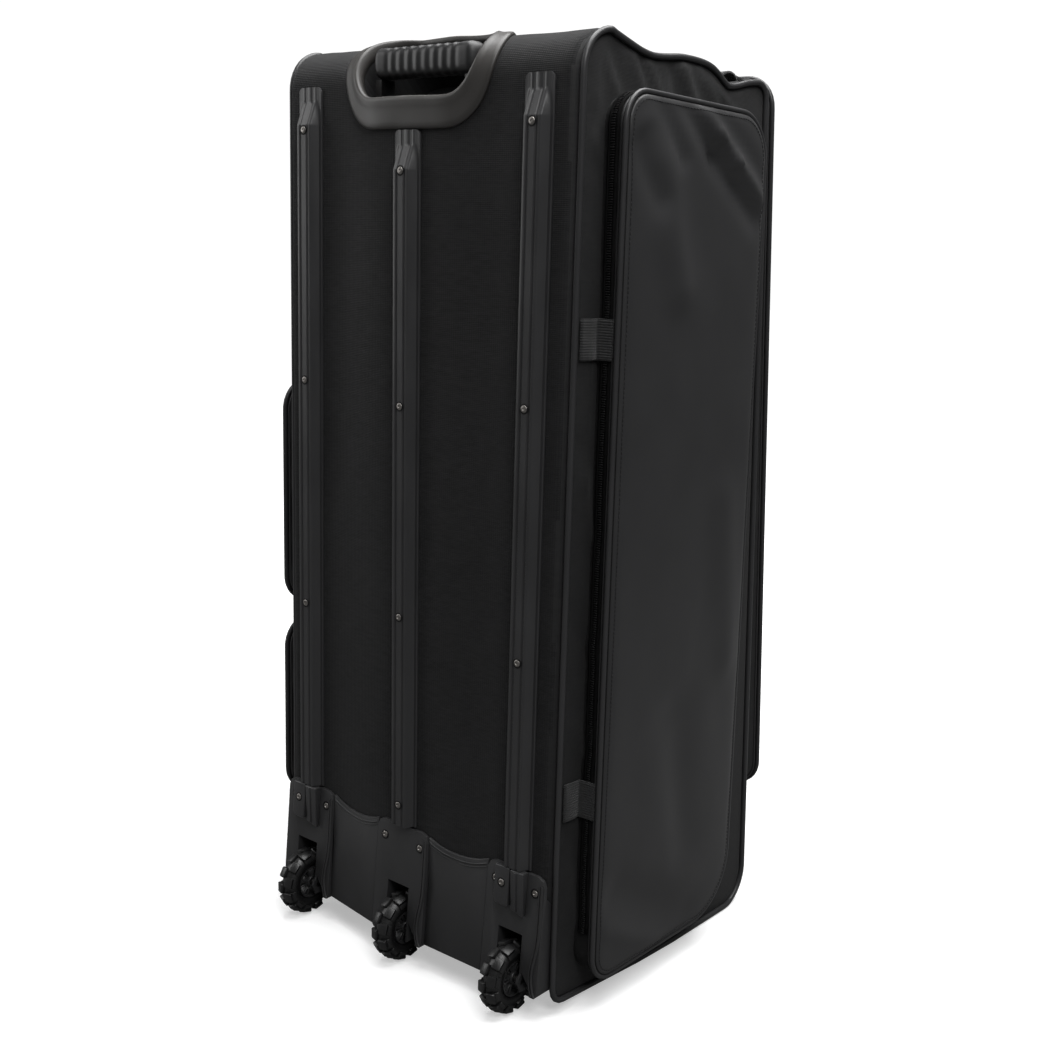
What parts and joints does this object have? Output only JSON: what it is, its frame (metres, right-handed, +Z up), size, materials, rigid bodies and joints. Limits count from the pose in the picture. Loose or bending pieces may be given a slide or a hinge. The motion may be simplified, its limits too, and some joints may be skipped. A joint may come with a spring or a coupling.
{
  "type": "wheeled kit bag",
  "caption": "Tall wheeled sports kit bag with piped side and front pockets, skid rails down its back, wheels in moulded housings and a slide-out trolley handle.",
  "frame": {"origin": "on the floor under the middle of the whole bag", "axes": "+Z up the standing bag, +Y from the back panel towards the front pocket, +X towards the long side pocket"},
  "size_m": [0.4546, 0.4966, 0.9228],
  "materials": {
    "body_fabric": "woven, matt",
    "lid_fabric": "coated fabric, matt",
    "pocket_fabric": "coated fabric, satin",
    "piping": "smooth bead",
    "zip_tape": "matt",
    "webbing": "ribbed",
    "moulding": "moulded, satin",
    "collar_plastic": "moulded, satin",
    "rivet": "satin",
    "tyre": "matt",
    "rim": "moulded",
    "axle": "satin",
    "post": "anodised dark",
    "guide": "plain",
    "grip": "moulded"
  },
  "bodies": {
    "bag": {"body_tray": "body_fabric", "lid_panel": "lid_fabric", "main_zip": "zip_tape", "seam_piping_left": "piping", "seam_piping_right": "piping", "pocket_right": "pocket_fabric", "pocket_right_piping": "piping", "pocket_right_zip": "zip_tape", "pocket_left_upper": "lid_fabric", "pocket_left_upper_piping": "piping", "pocket_left_lower": "lid_fabric", "pocket_left_lower_piping": "piping", "pocket_front": "lid_fabric", "pocket_front_piping": "piping", "pocket_front_zip": "zip_tape", "side_webbing_upper": "webbing", "side_webbing_lower": "webbing", "top_webbing": "webbing", "handle_collar": "collar_plastic", "handle_cup": "moulding", "handle_guide_left": "guide", "handle_guide_right": "guide", "rail_clip_left": "moulding", "rail_clip_right": "moulding", "kick_panel_left": "moulding", "kick_panel_right": "moulding", "rail_left": "moulding", "rail_middle": "moulding", "rail_right": "moulding", "wheel_housing_left": "moulding", "axle_left": "axle", "wheel_housing_middle": "moulding", "axle_middle": "axle", "wheel_housing_right": "moulding", "axle_right": "axle", "rail_rivet_left_1": "rivet", "rail_rivet_left_2": "rivet", "rail_rivet_left_3": "rivet", "rail_rivet_middle_1": "rivet", "rail_rivet_middle_2": "rivet", "rail_rivet_middle_3": "rivet", "rail_rivet_middle_4": "rivet", "rail_rivet_right_1": "rivet", "rail_rivet_right_2": "rivet", "rail_rivet_right_3": "rivet", "housing_rivet_left_a": "rivet", "housing_rivet_left_b": "rivet", "housing_rivet_middle_a": "rivet", "housing_rivet_middle_b": "rivet", "housing_rivet_right_a": "rivet", "housing_rivet_right_b": "rivet"},
    "wheel_left": {"tyre_left": "tyre", "rim_left": "rim"},
    "wheel_middle": {"tyre_middle": "tyre", "rim_middle": "rim"},
    "wheel_right": {"tyre_right": "tyre", "rim_right": "rim"},
    "handle": {"handle_grip": "grip", "handle_post_left": "post", "handle_post_right": "post"}
  },
  "joints": [
    {"name": "wheel_left_spin", "type": "hinge", "parent": "bag", "child": "wheel_left", "pos_m": [-0.14411, -0.21185, 0.03598], "axis": [1, 0, 0], "continuous": true},
    {"name": "wheel_middle_spin", "type": "hinge", "parent": "bag", "child": "wheel_middle", "pos_m": [0.00389, -0.21185, 0.03598], "axis": [1, 0, 0], "continuous": true},
    {"name": "wheel_right_spin", "type": "hinge", "parent": "bag", "child": "wheel_right", "pos_m": [0.15189, -0.21185, 0.03598], "axis": [1, 0, 0], "continuous": true},
    {"name": "handle_slide", "type": "slide", "parent": "bag", "child": "handle", "axis": [0, 0, 1], "range_m": [0, 0.36]}
  ]
}
